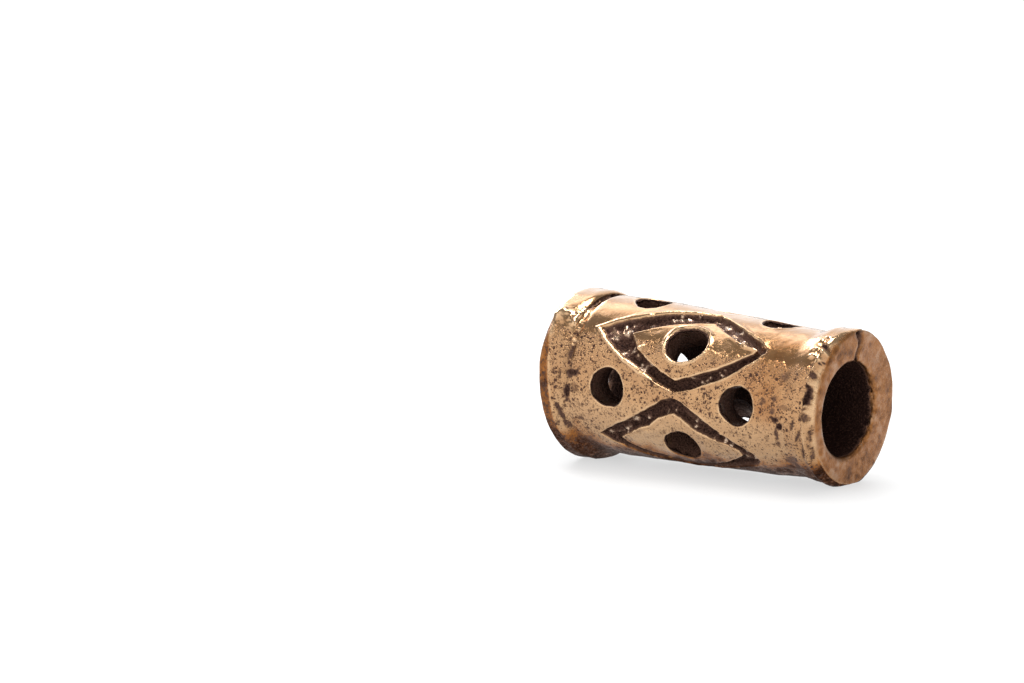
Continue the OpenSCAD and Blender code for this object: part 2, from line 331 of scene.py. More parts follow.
# Side holes: place along the bore, turn, diameter, width of the soft edge, height of the ridge round it
HOLES = [
    (0.48, 46, 2.76, 0.2, 0.14), (0.5, 131, 2.5, 0.12, 0.015), (0.48, 225, 2.5, 0.14, 0.02),
    (0.5, 315, 2.5, 0.14, 0.03), (-4.42, 2.7, 2.45, 0.16, 0.02), (-4.55, 89, 2.5, 0.12, 0.01),
    (-4.5, 180, 2.5, 0.14, 0.02), (-4.8, 278, 2.5, 0.14, 0.02), (5.12, -2.7, 2.4, 0.14, 0.02),
    (5.08, 88.3, 2.42, 0.12, 0.01), (5.1, 180, 2.4, 0.14, 0.02), (5.1, 270, 2.4, 0.14, 0.02),
]
# Section of a hole's edge: distance from the wall as a share of the soft edge, height as a share of it, how
# dark it is, and the share of the ridge's height
HOLE_EDGE = [
    (0, -0.9, 1, 0), (0.2, -0.5, 0.85, 0), (0.5, -0.2, 0.3, 0.4), (0.9, -0.04, 0, 0.9), (1.3, 0, 0, 1),
    (1.8, 0, 0, 0.3),
]
HOLE_SIDES = 72
# Triangles are fine between these turns and coarse at the back
FINE, COARSE = 0.105, 0.2
FRONT = (-40, 185)

# What is drawn on the plane: points with their heights and darkness, lines from point to point, the two rings
# of each hole, and the stretches of points on grooves' inner walls and on pushed-up borders
points, height, dark, links, loops, inner_edge, outer_edge = [], [], [], [], [], [], []


def add(flat, depth, shade, linked=True):
    """Adds points of the plane, as a closed line if linked, and returns where they start."""
    start = sum(len(p) for p in points)
    n = len(flat)
    points.append(np.asarray(flat, float))
    height.append(np.full(n, depth, float))
    dark.append(np.full(n, shade, float))
    if linked:
        links.extend((start + i, start + (i + 1) % n) for i in range(n))
    return start


def to_s(turn):
    """Place across the plane."""
    return np.radians(turn) * PLANE_R


def diamond_lines():
    """Draws the grooves, and returns the outer and inner outline of the zone that each takes up."""
    keep_off = []
    for corners in DIAMONDS:
        outer = np.array([(x, to_s(t)) for x, t, _, _ in corners])
        inner = np.array([(x, to_s(t)) for _, _, x, t in corners])
        # The corners run against the clock in the plane, so that out is away from the diamond
        if np.sum(outer[:, 0] * np.roll(outer[:, 1], -1) - np.roll(outer[:, 0], -1) * outer[:, 1]) < 0:
            outer, inner = outer[::-1], inner[::-1]
        middle, half = (outer + inner) / 2, (outer - inner) / 2
        away = half / np.linalg.norm(half, axis=1, keepdims=True)
        tight = (outer[:, 1] > to_s(TIGHT[0])) & (outer[:, 1] < to_s(TIGHT[1])) & (abs(outer[:, 0] - 0.4) < 2)
        border = {1: away * np.where(tight, 0.3, 1)[:, None], -1: away}
        step = FINE * 0.9 if FRONT[0] < corners[0][1] < FRONT[1] else COARSE * 0.85
        lengths = np.linalg.norm(np.roll(middle, -1, 0) - middle, axis=1)
        counts = np.maximum(2, np.round(lengths / step)).astype(int)
        pushed_up = corners is DIAMONDS[0]
        for distance, depth, shade, push in GROOVE + [FAR_EDGE] * pushed_up:
            for side in (1, -1) if distance and distance < FAR_EDGE[0] else (1,):
                shift = half * min(1, distance / EDGE_AT) + border[side] * max(0, distance - EDGE_AT)
                m = middle + side * shift
                gap = np.roll(m, -1, 0) - m
                line = [m[k] + gap[k] * i / counts[k] for k in range(len(m)) for i in range(counts[k])]
                start = add(line, depth, shade)
                if side < 0 and distance > WALL_FROM:
                    inner_edge.append((start, start + len(line), (distance - WALL_FROM) / WALL_WIDE))
                elif push:
                    outer_edge.append((start, start + len(line), push))
        clear = GROOVE[-1][0] - EDGE_AT + 0.05
        keep_off.append((outer + border[1] * (clear + 0.12 * pushed_up), inner - away * clear))
    return keep_off


def hole_outline(hole, distance, r_of):
    """A hole's uneven outline, widened by a distance, on a surface of radius r_of."""
    x0, turn, d = hole[:3]
    a = np.linspace(0, 2 * np.pi, HOLE_SIDES, endpoint=False)
    k = HOLES.index(hole)
    wobble = 1 + 0.018 * np.cos(2 * a + k) + 0.014 * np.cos(3 * a + 2.3 * k) + 0.01 * np.cos(5 * a + 1.1 * k)
    r = d / 2 * wobble + distance
    x = x0 + r * np.cos(a)
    across = r * np.sin(a)
    return np.stack([x, to_s(turn + np.degrees(np.arcsin(across / r_of(x))))], 1)


def bore_outline(hole, distance):
    """The same on the bore's wall."""
    a, b = MARKS["mouth_narrow"], MARKS["end"]
    x_a, x_b = TABLE_X[:, int((a - GRID[0]) / TABLE_STEP)].mean(), TABLE_X[:, -1].mean()
    ring = hole_outline(hole, distance, bore_r)
    ring[:, 0] = b - (ring[:, 0] - x_b) / (x_a - x_b) * (b - a)
    return ring


def hole_rings():
    """Draws each hole's edges on the outside and in the bore."""
    for hole in HOLES:
        soft, ridge = hole[3:]
        starts = [
            add(hole_outline(hole, share * soft, body_r), depth * soft + ridge_share * ridge, shade)
            for share, depth, shade, ridge_share in HOLE_EDGE
        ]
        loops.append((starts[0], add(bore_outline(hole, 0), 0, 1), hole))


def ring_lines():
    """Draws rows of points round the bead along its sharp corners, so that these stay smooth."""
    zones = []
    m = MARKS
    for middle, half, count, spacing in (
        (m["rim"], 0.1, 4, 0.12),
        (m["bevel"], 0.12, 4, 0.12),
        (m["face"], 0.14, 5, 0.12),
        (m["mouth_narrow"] - 0.11, 0.2, 7, 0.17),
        (m["end"] + 0.16, 0.3, 8, 0.25),
    ):
        n = int(ROUND / spacing)
        for k in range(count):
            u = middle - half + 2 * half * k / (count - 1)
            s = (np.arange(n) + 0.5 * (k % 2)) / n * ROUND
            add(np.stack([np.full(n, u), s], 1), 0, 0, linked=False)
        zones.append((middle - half, middle + half))
    return zones


def fill(u_a, u_b, turn_a, turn_b, step, radius, rng):
    """A jittered grid of triangles over a zone of the rolled-out surface."""
    across = step * PLANE_R / radius
    rows = max(1, int(round((u_b - u_a) / (step * 0.866))))
    s_a, s_b = to_s(turn_a), to_s(turn_b)
    n = max(1, int(round((s_b - s_a) / across)))
    out = []
    for j in range(rows):
        u = u_a + (j + 0.5) * (u_b - u_a) / rows
        s = s_a + (np.arange(n) + 0.25 + 0.5 * (j % 2)) * (s_b - s_a) / n
        out.append(np.stack([np.full(n, u), s], 1))
    out = np.concatenate(out)
    return out + rng.uniform(-0.16, 0.16, out.shape) * [step, across]


def all_fill(keep_off, zones):
    """Points that fill the plane between what is drawn on it."""
    rng = np.random.default_rng(11)
    m = MARKS
    parts = []
    # From and to along u, step, the surface's rough radius, and how much coarser the back is
    for u_a, u_b, step, radius, back in (
        (m["mouth_wide"], m["lip"], 0.19, 4.4, 1),
        (m["lip"], -7.0, FINE, 5.4, COARSE / FINE),
        (-7.0, 8.0, FINE, 5.0, COARSE / FINE),
        (8.0, m["face"], 0.115, 4.8, 1.5),
        (m["face"], m["mouth_narrow"], 0.12, 3.9, 1),
        (m["mouth_narrow"], m["mouth_narrow"] + 2.5, 0.15, BORE_R, 1),
        (m["mouth_narrow"] + 2.5, m["end"], 0.28, BORE_R, 1),
    ):
        parts.append(fill(u_a, u_b, FRONT[0], FRONT[1], step, radius, rng))
        parts.append(fill(u_a, u_b, FRONT[1], FRONT[0] + 360, step * back, radius, rng))
    p = np.concatenate(parts)
    keep = np.ones(len(p), bool)
    for shift in (-ROUND, 0, ROUND):
        q = p + [0, shift]
        for outer, inner in keep_off:
            keep[inside(q, outer) & ~inside(q, inner)] = False
        for hole in HOLES:
            keep[inside(q, hole_outline(hole, HOLE_EDGE[-1][0] * hole[3] + 0.05, body_r))] = False
            keep[inside(q, bore_outline(hole, 0.1))] = False
    for a, b in zones:
        for shift in (-U_PERIOD, 0, U_PERIOD):
            keep[(p[:, 0] + shift > a - 0.04) & (p[:, 0] + shift < b + 0.04)] = False
    return p[keep]


def inside(p, ring):
    """Which points lie inside a closed line."""
    result = np.zeros(len(p), bool)
    lo, hi = ring.min(0), ring.max(0)
    near = np.where(np.all((p > lo) & (p < hi), 1))[0]
    q = p[near]
    odd = np.zeros(len(near), bool)
    for a, b in zip(ring, np.roll(ring, -1, 0)):
        if a[1] == b[1]:
            continue
        crosses = (a[1] > q[:, 1]) != (b[1] > q[:, 1])
        odd ^= crosses & (q[:, 0] < (b[0] - a[0]) * (q[:, 1] - a[1]) / (b[1] - a[1]) + a[0])
    result[near] = odd
    return result


def triangles(p, edges):
    """Triangles of a plane that repeats in both directions, from a triangulation with a margin round it."""
    period = np.array([U_PERIOD, ROUND])
    low = np.array([MARKS["mouth_wide"], 0.0])
    cell = np.floor((p - low) / period)
    home = p - cell * period
    margin = 1.6
    copies, source, number = [], [], {}
    for i in (-1, 0, 1):
        for j in (-1, 0, 1):
            q = home + period * [i, j]
            near = np.where(np.all((q > low - margin) & (q < low + period + margin), 1))[0]
            for n, k in enumerate(near):
                number[(k, i, j)] = len(source) + n
            copies.append(q[near])
            source.extend(near)
    flat = np.concatenate(copies)
    linked = []
    for a, b in edges:
        step = cell[b] - cell[a]
        # b is in the copy of the plane that lies so many periods from a's
        for i in (-1, 0, 1):
            for j in (-1, 0, 1):
                one = number.get((a, i, j))
                two = number.get((b, int(i + step[0]), int(j + step[1])))
                if one is not None and two is not None:
                    linked.append((one, two))
    result = delaunay_2d_cdt([Vector(q) for q in flat], linked, [], 0, 1e-7)
    if len(result[0]) != len(flat):
        print("lines cross: ", len(result[0]) - len(flat), "extra points")
    got, tri = np.array([v[:] for v in result[0]]), np.array(result[2])
    centre = got[tri].mean(1)
    tri = tri[np.all((centre >= low) & (centre < low + period), 1)]
    back = np.array([source[min(o)] if o else -1 for o in result[3]])
    return back[tri]


keep_off = diamond_lines()
hole_rings()
zones = ring_lines()
add(all_fill(keep_off, zones), 0, 0, linked=False)
P2, DARK, HEIGHT = np.concatenate(points), np.concatenate(dark), np.concatenate(height)
# Height added on the pushed-up borders, the grooves' inner borders, and the metal inside the grooves, without
# and with the wall down to their floors
PUSHED, INNER, INSIDE = np.zeros(len(P2)), np.zeros(len(P2), bool), np.zeros(len(P2))
for first, after, push in outer_edge:
    PUSHED[first:after] = push
for _, ring in keep_off:
    for shift in (-ROUND, 0, ROUND):
        INSIDE[inside(P2 + [0, shift], ring)] = 1
WITHIN = INSIDE.copy()
for first, after, share in inner_edge:
    INNER[first:after] = share > 1.05
    WITHIN[first:after] = min(1, share)
# The holes are left open
loop_of = np.full(len(P2), -1)
for n, (outer, inner, _) in enumerate(loops):
    loop_of[outer : outer + HOLE_SIDES] = 2 * n
    loop_of[inner : inner + HOLE_SIDES] = 2 * n + 1
TRI = triangles(P2, links)
on = loop_of[TRI]
TRI = TRI[~((on[:, 0] >= 0) & (on[:, 0] == on[:, 1]) & (on[:, 1] == on[:, 2]))]

# Dents, pits and lumps: place along u, turn, half lengths along u and round the bead, slant in degrees,
# height, and how dark it is, or below nought how brightly rubbed
MARKINGS = [
    # in the grooves: first a deep pocket and the bridge of metal behind it
    (-3.65, 53.5, 0.5, 0.3, 50, -0.14, 0.3), (-2.62, 58.6, 0.17, 0.34, 20, 0.36, -1),
    (-4.9, 46.5, 0.5, 0.3, 10, 0.16, -0.5), (-4.2, 46, 0.3, 0.16, 20, 0.12, -0.7),
    (4.95, 40.8, 0.7, 0.19, 13, 0.16, -1), (4.3, 39.3, 0.45, 0.12, 32, 0.1, -0.8),
    (4.3, 35, 0.2, 0.2, 0, 0.22, -0.8), (3.2, 29.8, 0.25, 0.12, 30, 0.2, -0.6),
    (-1, 21, 0.5, 0.1, -25, 0.2, -0.8), (3.75, 114.5, 0.2, 0.22, 40, 0.2, -0.9),
    (1.6, 103, 0.3, 0.12, 40, 0.12, -0.5), (5.3, 128, 0.3, 0.12, 40, 0.15, -0.6),
    (5.2, 134, 0.25, 0.16, 60, 0.2, -0.6), (-3.3, 119, 0.2, 0.12, 60, 0.12, -0.4),
    (-4.3, 127, 0.2, 0.12, 0, 0.14, -0.5), (5.75, 135, 0.22, 0.15, 40, 0.25, -0.9),
    # on the collar
    (-9.4, 39, 0.35, 0.5, 0, 0.13, -1), (-8.35, 42, 0.36, 0.55, 0, 0.13, -1),
    (-8.06, 85, 0.08, 0.28, 0, -0.05, 0.6), (-7.15, 81.5, 0.42, 0.2, 10, -0.07, 0.85),
    (-7.4, 83.5, 0.2, 0.25, 0, -0.06, 0.7), (-7.5, 96.5, 0.19, 0.5, 5, -0.09, 0.9),
    (-6.96, 93, 0.18, 0.35, 0, -0.02, 0.35), (-8.2, 107.5, 0.16, 0.35, -20, -0.06, 0.7),
    (-8, 114, 0.16, 0.45, -15, -0.05, 0.7), (-7.85, 122, 0.2, 0.4, -20, -0.05, 0.6),
    (-7.58, 66, 0.1, 0.4, 0, -0.08, 0.7), (-6.7, 116, 0.22, 0.14, 10, -0.03, 0.5),
    (-9.4, 38, 0.2, 0.35, 0, 0.06, -1), (-8.7, 36, 0.16, 0.22, 0, 0.05, -1),
    (-8.3, 31.5, 0.3, 0.2, 0, 0.06, -1), (-7.8, 30.5, 0.25, 0.12, 0, 0.06, -0.8),
    (-8.5, 45, 0.25, 0.3, 0, 0.06, -1), (-8.05, 45, 0.2, 0.3, 0, 0.05, -1),
    (-7.6, 42.5, 0.14, 0.14, 0, 0.08, -1), (-7.6, 49, 0.12, 0.1, 0, 0.08, -1),
    (-7.95, 55.5, 0.12, 0.08, 0, 0.07, -1), (-7.6, 58.2, 0.2, 0.07, 10, 0.08, -1),
    (-7.6, 61.5, 0.08, 0.08, 0, 0.08, -1),
    # on the neck
    (6.2, 62, 0.1, 0.1, 0, -0.04, 0.9), (7.04, 81, 0.25, 0.14, 40, -0.02, 0.45),
    (8.2, 60.5, 0.3, 0.36, 30, -0.03, 0.42), (7.8, 79, 0.16, 0.2, 0, -0.03, 0.5),
    (7.74, 88, 0.15, 0.24, 0, -0.03, 0.5), (7.94, 95, 0.24, 0.2, -30, -0.06, 0.9),
    (8.2, 99.5, 0.2, 0.24, -30, -0.07, 1), (7.97, 107, 0.13, 0.4, 0, -0.04, 0.6),
    (8, 115, 0.16, 0.24, 20, -0.03, 0.5), (8.55, 84, 0.3, 0.16, 0, -0.02, 0.35),
    (6.9, 84, 0.12, 0.12, 0, -0.03, 0.6), (8.6, 130, 0.4, 0.5, 50, -0.04, 0.5),
    (9, 142, 0.5, 0.6, 0, -0.05, 0.7), (9.2, 97, 0.1, 0.4, 15, -0.07, 0.6),
    (9.6, 105, 0.1, 0.5, 25, -0.08, 0.65), (9.85, 118, 0.1, 0.7, 15, -0.08, 0.7),
    # round the rim
    (10.1, 29.5, 0.3, 0.2, 20, -0.16, 1), (9.55, 24, 0.22, 0.14, 0, 0.12, -1),
    (9.8, 19, 0.25, 0.12, 0, 0.12, -1), (9.5, 34, 0.2, 0.16, 0, 0.12, -1),
    (10.3, 34.5, 0.22, 0.13, 0, 0.1, -1), (9.6, 40.5, 0.2, 0.2, 40, 0.12, -1),
    (10.28, 43, 0.16, 0.2, 0, 0.1, -0.8), (10.5, 44, 0.26, 0.06, -60, -0.08, 0.9),
    (9.9, 49, 0.2, 0.2, 0, -0.07, 0.5), (10.33, 55.5, 0.2, 0.2, 0, -0.07, 0.7),
    (10.12, 60, 0.1, 0.1, 0, 0.12, -1), (10.24, 65, 0.13, 0.1, 0, -0.08, 0.9),
    (10.4, 73.6, 0.15, 0.52, 6, -0.2, 1), (10.3, 78, 0.2, 0.22, 0, -0.14, 0.95),
    (10.05, 76.5, 0.12, 0.26, 0, -0.04, 0.5), (10.3, 83, 0.1, 0.2, 30, -0.04, 0.45),
    (10.36, 90, 0.14, 0.32, -10, -0.05, 0.55), (10.52, 107, 0.07, 0.6, 5, -0.06, 0.6),
    (10.5, 122, 0.07, 0.5, 5, -0.05, 0.55), (9.95, 90, 0.25, 0.3, 0, -0.04, 0.4),
]
# Where the rubbed side of the collar ends, the middle of the ring beside it, and how deep that is
LIP_EDGE = around({
    0: -9.6, 30: -9.75, 52: -9.5, 60: -9.35, 76: -8.95, 95: -8.75, 126: -8.5, 160: -8.3, 200: -8.3, 260: -8.8,
    320: -9.3,
})
RING_AT = around({
    0: -7.82, 25: -7.8, 50: -7.6, 95: -7.5, 125: -7.7, 150: -7.3, 180: -6.9, 210: -7.2, 270: -7.5, 345: -7.8,
})
RING_DEEP = around({
    0: 1, 20: 1, 33: 0.1, 50: 0.2, 60: 0.6, 72: 0.4, 85: 0.1, 120: 0.1, 150: 0.2, 200: 0.5, 260: 0.8,
    300: 0.9, 340: 1,
})
# The rim is split through at this turn
SPLIT = -12.5


def shape():
    """The surface's points with their relief, their dirt and painted shade, how polished they are, and their
    u and turn.
    """
    mouth, end = MARKS["mouth_narrow"], MARKS["end"]
    u, s = P2[:, 0].copy(), P2[:, 1].copy()
    plain = place(u, np.degrees(s / PLANE_R))
    # Lines wander a little, as cut by hand
    wander = np.where((u > MARKS["lip"] - 0.5) & (u < MARKS["rim"]), 1.0, 0.35)
    u = u + wander * (0.05 * noise(plain, 1.1, 3) + 0.045 * noise(plain, 0.4, 4, 2))
    s = s + wander * (0.05 * noise(plain, 1.1, 5) + 0.045 * noise(plain, 0.4, 6, 2))
    turn = np.degrees(s / PLANE_R)
    bead = place(u, turn)
    n = normal(u, turn)
    radius = np.hypot(bead[:, 1], bead[:, 2])
    in_bore = (u > mouth + 0.25) & (u < end - 0.2)

    # The ridges pushed up beside the cuts are uneven
    ridge = np.clip(0.75 + 0.8 * noise(bead, 1.2, 29, 2), 0.1, 1.6)
    # and highest on the left-hand cuts of the front diamond, where they were rubbed bright
    tall = ((turn > 6) & (turn < 87)) * smooth(1.2, -0.6, u) * (0.45 + 0.55 * smooth(40, 48, turn))
    ridge = np.where(INNER, 0.25 * ridge, ridge)
    h = np.where(HEIGHT > 0, HEIGHT * ridge, HEIGHT) + PUSHED * tall * (0.6 + 0.4 * ridge)
    h += INSIDE * 0.03 * noise(bead, 0.8, 43)
    # Inside the front diamond the metal falls away towards the top
    fall = np.clip(np.radians(48 - turn) * PLANE_R, 0, 2) * WITHIN * ((turn > 5) & (turn < 60))
    h -= 0.14 * fall**2 / (fall + 0.4)
    # The casting is uneven all over, and the cuts' floors are lumpy, with the highest lumps rubbed bright
    h += np.where(in_bore, 0.03, 0.04) * noise(bead, 3.1, 21) + 0.02 * noise(bead, 1.3, 22, 2)
    h += 0.009 * noise(bead, 0.5, 23, 2)
    lumps = 0.1 * noise(bead, 0.4, 24) + 0.08 * noise(bead, 0.19, 30)
    h += CUT_FLOOR * (lumps + 0.02)
    shade = DARK - CUT_FLOOR * (0.1 + 0.6 * smooth(0.06, 0.13, lumps))
    # Near the top the cuts' floors are painted lighter, painted light where they face up
    shade *= 1 - 0.25 * CUT_FLOOR * ((u > 1) & (turn > 0) & (turn < 45))
    polish_and_sheen = CUT_FLOOR * smooth(0.06, 0.14, lumps)
    h += np.where(in_bore, 0.05, 0) * noise(bead, 0.8, 25, 2)

    # The collar: its brown lip, the rough ring, and the lumps that catch the light
    edge = at_turn(LIP_EDGE, turn) + 0.08 * noise(bead, 0.6, 34, 2)
    h += np.where(u < -7, 0.02 * bump(u, edge, 0.12) - 0.06 * smooth(edge, edge - 0.35, u), 0)
    deep = at_turn(RING_DEEP, turn) * np.where(u < -6, bump(u, at_turn(RING_AT, turn), 0.21), 0)
    h -= deep * (0.13 + 0.1 * noise(bead, 0.3, 35, 2))
    shade = np.maximum(shade, np.clip(deep * (0.8 + 0.9 * noise(bead, 0.28, 36)), 0, 1))
    lit = bump(u, -8.5, 1.1) * bump(turn_gap(turn, 42), 0, 17)
    h += lit * (0.06 * noise(bead, 0.5, 27) + 0.02 * noise(bead, 0.25, 28))

    # The rim: an uneven edge, the ragged far side of the bore's mouth, and the split
    near_rim = smooth(9.2, 9.7, u) * (1 - smooth(10.7, 10.9, u))
    h += near_rim * 0.02 * noise(bead, 0.8, 37)
    face = smooth(10.6, 10.9, u) * (1 - smooth(mouth + 0.2, mouth + 0.5, u))
    h += face * 0.02 * noise(bead, 0.6, 39, 2)
    ragged = bump(u, mouth, 0.35) * bump(turn_gap(turn, 262), 0, 45)
    h += ragged * (0.2 * noise(bead, 0.4, 33, 2) - 0.03)
    split_at = SPLIT + 3.5 * noise(np.stack([u, 0 * u, 0 * u], 1), 0.6, 40)
    crack = np.radians(turn_gap(turn, split_at)) * radius
    wide = 0.15 + 0.17 * bump(u, 10.85, 0.4) + 0.08 * bump(u, mouth, 0.3)
    slit = np.exp(-((crack / wide) ** 4)) * smooth(10, 10.25, u) * (1 - smooth(mouth + 0.4, mouth + 0.9, u))
    h -= 0.5 * slit
    shade = np.maximum(shade, np.sqrt(slit))

    on_outside = (u > -10) & (u < MARKS["face"] + 0.1)
    for u0, t0, along, round_it, slant, rise, dark_there in MARKINGS:
        du = u - u0
        ds = np.radians(turn_gap(turn, t0)) * PLANE_R
        near = on_outside & (abs(du) < 1.6) & (abs(ds) < 1.6)
        d, e = du[near], ds[near]
        warp = 1 + 0.6 * noise(bead[near], 0.24, 41, 2)
        cos, sin = math.cos(math.radians(slant)), math.sin(math.radians(slant))
        q = ((d * cos + e * sin) / along) ** 2 + ((e * cos - d * sin) / round_it) ** 2
        w = np.exp(-((q * np.clip(warp, 0.3, 2)) ** 1.4))
        h[near] += rise * w
        if dark_there > 0:
            shade[near] = np.maximum(shade[near], dark_there * smooth(0.15, 0.6, w))
        else:
            shade[near] *= 1 + dark_there * w
            polish_and_sheen[near] = np.maximum(polish_and_sheen[near], -dark_there * w)

    # The wide mouth's far side stands inwards, so that little light comes through it to the hole before it
    h += 0.3 * smooth(end - 1.2, end - 0.3, u) * bump(turn_gap(turn, 266), 0, 40)
    p = bead + n * h[:, None]
    # The bead has been rubbed flat where it lies
    low = REST_Z + (p[:, 0] - REST_X) * REST_SLOPE + 0.012 * noise(bead, 0.5, 26)
    p[:, 2] = np.where(p[:, 2] < low, low, p[:, 2])
    # The bore is dark, and the far side of the wide mouth is given painted shade
    torn = u + ragged * 0.2 * noise(bead, 0.25, 44, 2)
    dark_bore = smooth(mouth - 0.05, mouth + 0.22, torn) * (1 - smooth(end - 0.2, end + 0.1, u))
    from_wide = u - MARKS["mouth_wide"]
    painted_mouth_shade = (1 - smooth(0.3, 0.6, from_wide)) + smooth(end - 0.3, end, u)
    painted_mouth_shade = painted_mouth_shade * bump(turn_gap(turn, 266), 0, 45) * (0.8 + 0.4 * noise(bead, 0.3, 45))
    shade = np.maximum(np.maximum(shade, dark_bore), painted_mouth_shade)
    return p, shade, np.clip(polish_and_sheen, 0, 1), u, turn


WALL_RINGS = 8


def walls(p, shade):
    """The points and their darkness with the rings down each hole's wall added, and the walls' triangles."""
    extra, extra_shade, tris = [], [], []
    index = len(p)
    for outer, inner, hole in loops:
        a = p[outer : outer + HOLE_SIDES]
        b = p[inner : inner + HOLE_SIDES]
        turn = math.radians(hole[1])
        axis = np.array([0, -math.sin(turn), math.cos(turn)])
        middle = a.mean(0)
        rings = [np.arange(outer, outer + HOLE_SIDES)]
        for k in range(1, WALL_RINGS):
            t = k / WALL_RINGS
            ring = a * (1 - t) + b * t
            out = ring - middle
            out -= np.outer(out @ axis, axis)
            out /= np.linalg.norm(out, axis=1, keepdims=True)
            rough = 0.06 * noise(ring, 0.5, 31, 2) + 0.05 * noise(ring, 1.4, 32)
            ring = ring + out * (rough * min(1, 3 * t, 3 * (1 - t)))[:, None]
            extra.append(ring)
            extra_shade.append(0.68 + 0.3 * t - 0.3 * smooth(-0.2, 0.6, noise(ring, 0.35, 42, 2)) * (1 - t))
            rings.append(np.arange(index, index + HOLE_SIDES))
            index += HOLE_SIDES
        rings.append(np.arange(inner, inner + HOLE_SIDES))
        for one, two in zip(rings, rings[1:]):
            one2, two2 = np.roll(one, -1), np.roll(two, -1)
            tris.append(np.stack([one, one2, two2], 1))
            tris.append(np.stack([one, two2, two], 1))
    return np.concatenate([p] + extra), np.concatenate([shade] + extra_shade), np.concatenate(tris)


def relief(p, faces, rounds):
    """How far each point stands out from its smoothed surroundings along its normal, in millimetres."""
    edges = np.concatenate([faces[:, [0, 1]], faces[:, [1, 2]], faces[:, [2, 0]]])
    a = np.concatenate([edges[:, 0], edges[:, 1]])
    b = np.concatenate([edges[:, 1], edges[:, 0]])
    count = np.bincount(a, minlength=len(p))[:, None]
    fn = np.cross(p[faces[:, 1]] - p[faces[:, 0]], p[faces[:, 2]] - p[faces[:, 0]])
    n = np.stack([sum(np.bincount(faces[:, k], fn[:, j], len(p)) for k in range(3)) for j in range(3)], 1)
    n /= np.linalg.norm(n, axis=1, keepdims=True) + 1e-12
    q = p
    for _ in range(rounds):
        mean = np.stack([np.bincount(a, q[b, j], len(p)) for j in range(3)], 1) / count
        q = 0.5 * q + 0.5 * mean
    return np.sum((p - q) * n, 1)


# The grooves' floors
CUT_FLOOR = smooth(0.6, 1.0, DARK) * (HEIGHT < -0.1)
SURFACE, SURFACE_SHADE, RUBBED, U_OF, TURN_OF = shape()
POINTS, DIRT_AND_SHADE, WALLS = walls(SURFACE, SURFACE_SHADE)
FACES = np.concatenate([TRI[:, ::-1], WALLS])


def surface_values():
    """What steers the material at each point, from 0 to 1."""
    on_walls = np.zeros(len(POINTS) - len(SURFACE))
    x, turn = POINTS[:, 0], np.degrees(np.arctan2(-POINTS[:, 1], POINTS[:, 2]))
    u = np.concatenate([U_OF, on_walls + 20])
    on_surface = (INSIDE, CUT_FLOOR, at_turn(LIP_EDGE, TURN_OF) - U_OF, RUBBED)
    inside_of, floor_of, lip_gap, polish_and_sheen = (np.concatenate([values, on_walls]) for values in on_surface)
    # What stands out is rubbed, and what lies low is dirty
    stands_out = relief(POINTS, FACES, 14)
    polish_and_sheen = np.maximum(polish_and_sheen, smooth(0.02, 0.06, stands_out) * (DIRT_AND_SHADE < 0.4) * (u < 10.7))
    dirt_and_shade = np.clip(DIRT_AND_SHADE + 0.7 * smooth(0.035, 0.12, -stands_out) * (DIRT_AND_SHADE < 0.5), 0, 1)
    # Above, the side is rubbed smooth; the border is ragged
    low = abs(turn_gap(turn, 0))
    grainy = smooth(47, 53, low + 2.5 * noise(POINTS, 0.5, 51, 2) + 2 * noise(POINTS, 0.16, 52))
    # Never rubbed underneath nor on the lip, and browned there: a stain on the lip, painted shade with
    # tarnish underneath
    border = 141 - 13 * smooth(-5, -7.5, x) - 8 * smooth(6, 9, x) + 6 * noise(POINTS, 1.2, 53, 2)
    tarnish_and_shade_under = smooth(-12, 14, low - border)
    brown_lip = smooth(0, 0.2, lip_gap + 0.1 * noise(POINTS, 0.5, 54, 2)) * (x < -8)
    mouth = MARKS["mouth_narrow"]
    rim_top = bump(turn_gap(turn, -10), 0, 50)
    end_face = smooth(10.65 - 0.35 * rim_top, 10.8 - 0.2 * rim_top, u) * (u < mouth + 0.3)
    matte = np.clip(0.2 + 0.5 * grainy + 0.5 * end_face + 0.3 * brown_lip, 0, 1)
    specks = np.clip(0.1 + 0.65 * grainy + 0.12 * smooth(-4.5, -7, x) * grainy + 0.2 * tarnish_and_shade_under, 0, 1)
    specks = specks * (1 - polish_and_sheen) * (1 - 0.8 * end_face)
    stain_and_shade = np.clip(0.95 * tarnish_and_shade_under + (0.5 + 0.25 * noise(POINTS, 0.9, 55, 2)) * brown_lip, 0, 1)
    # A thin brown film before the rim, in front, as painted shade that dims the reflection there
    film_and_shade = 0.18 * bump(x, 7, 1.7) * smooth(12, 35, turn) * smooth(108, 85, turn)
    stain_and_shade = np.maximum(stain_and_shade, film_and_shade * (1 - polish_and_sheen))
    mottled = 0.465 + 0.2 * noise(POINTS, 0.9, 56, 2) + 0.12 * noise(POINTS, 0.28, 57)
    stain_and_shade = np.where(end_face > 0, end_face * np.clip(mottled, 0, 1), stain_and_shade)
    # Low on the front side the metal is painted a little lighter as a painted sheen, most inside the lower
    # diamond's left half
    painted_sheen = 0.35 * smooth(90, 105, turn) * (1 - tarnish_and_shade_under)
    painted_sheen += 0.35 * inside_of * smooth(95, 105, turn) * (turn < 175) * smooth(1, -2, x)
    polish_and_sheen = np.maximum(polish_and_sheen, painted_sheen * (abs(x) < 8.5) * (dirt_and_shade < 0.4) * (turn > 0))
    # Pale metal on the mouth's chamfer, on lumps in the grooves and on the end's face
    chamfer = bump(u, mouth - 0.24, 0.26) * (u < mouth + 0.12)
    pale = chamfer * (bump(turn_gap(turn, 110), 0, 60) + 0.4 * bump(turn_gap(turn, 310), 0, 40)) * 0.9
    pale = np.maximum(np.maximum(pale, 0.6 * polish_and_sheen * (floor_of > 0.5)), 0.26 * end_face)
    stain_and_shade = stain_and_shade * (1 - 0.6 * np.clip(pale, 0, 1))
    return dict(dirt_and_shade=dirt_and_shade, polish_and_sheen=polish_and_sheen, specks=specks, stain_and_shade=stain_and_shade, matte=matte, pale=pale)


